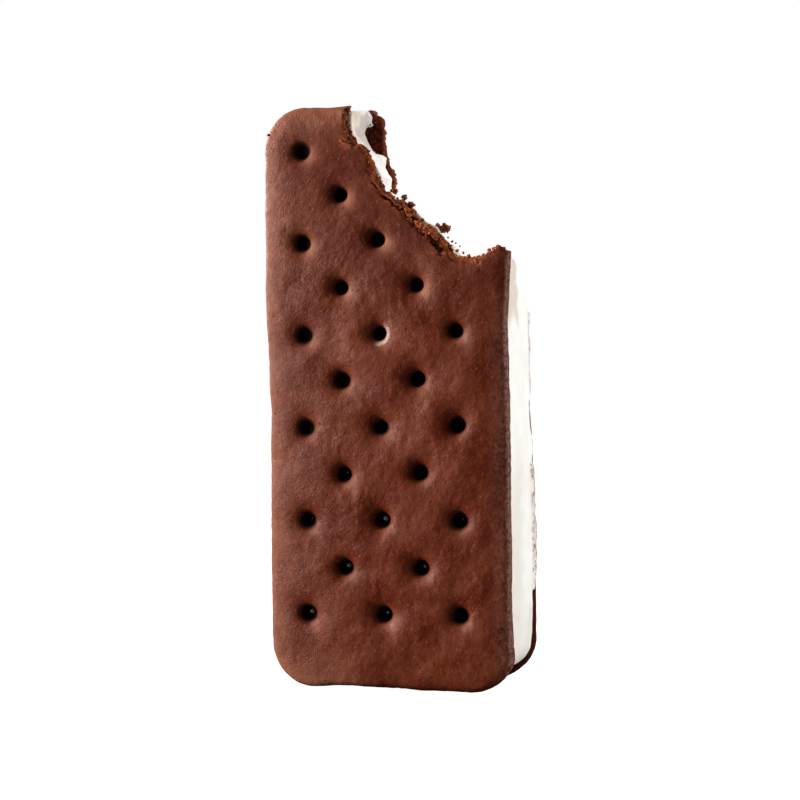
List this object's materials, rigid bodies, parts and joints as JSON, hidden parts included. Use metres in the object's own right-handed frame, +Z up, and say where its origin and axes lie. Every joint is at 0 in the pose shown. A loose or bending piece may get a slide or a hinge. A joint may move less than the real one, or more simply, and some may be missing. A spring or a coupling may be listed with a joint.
{
  "type": "ice cream sandwich",
  "caption": "Oblong ice cream sandwich standing on its short end: a vanilla slab between chocolate wafers with docking holes, bitten at a top corner.",
  "frame": {"origin": "middle of the bottom of the sandwich, which stands on its short end", "axes": "+Z up along the sandwich's length, -Y out of the front wafer's face, +X towards the bitten side"},
  "size_m": [0.0506, 0.0216, 0.1172],
  "materials": {
    "chocolate_wafer": "soft baked chocolate wafer, matt and finely pitted, orange-brown where it is broken",
    "vanilla_ice_cream": "frozen vanilla ice cream, cream white, softly moist at the cut"
  },
  "bodies": {
    "root": {"wafer_front": "chocolate_wafer", "ice_cream": "vanilla_ice_cream", "wafer_back": "chocolate_wafer"}
  },
  "joints": []
}
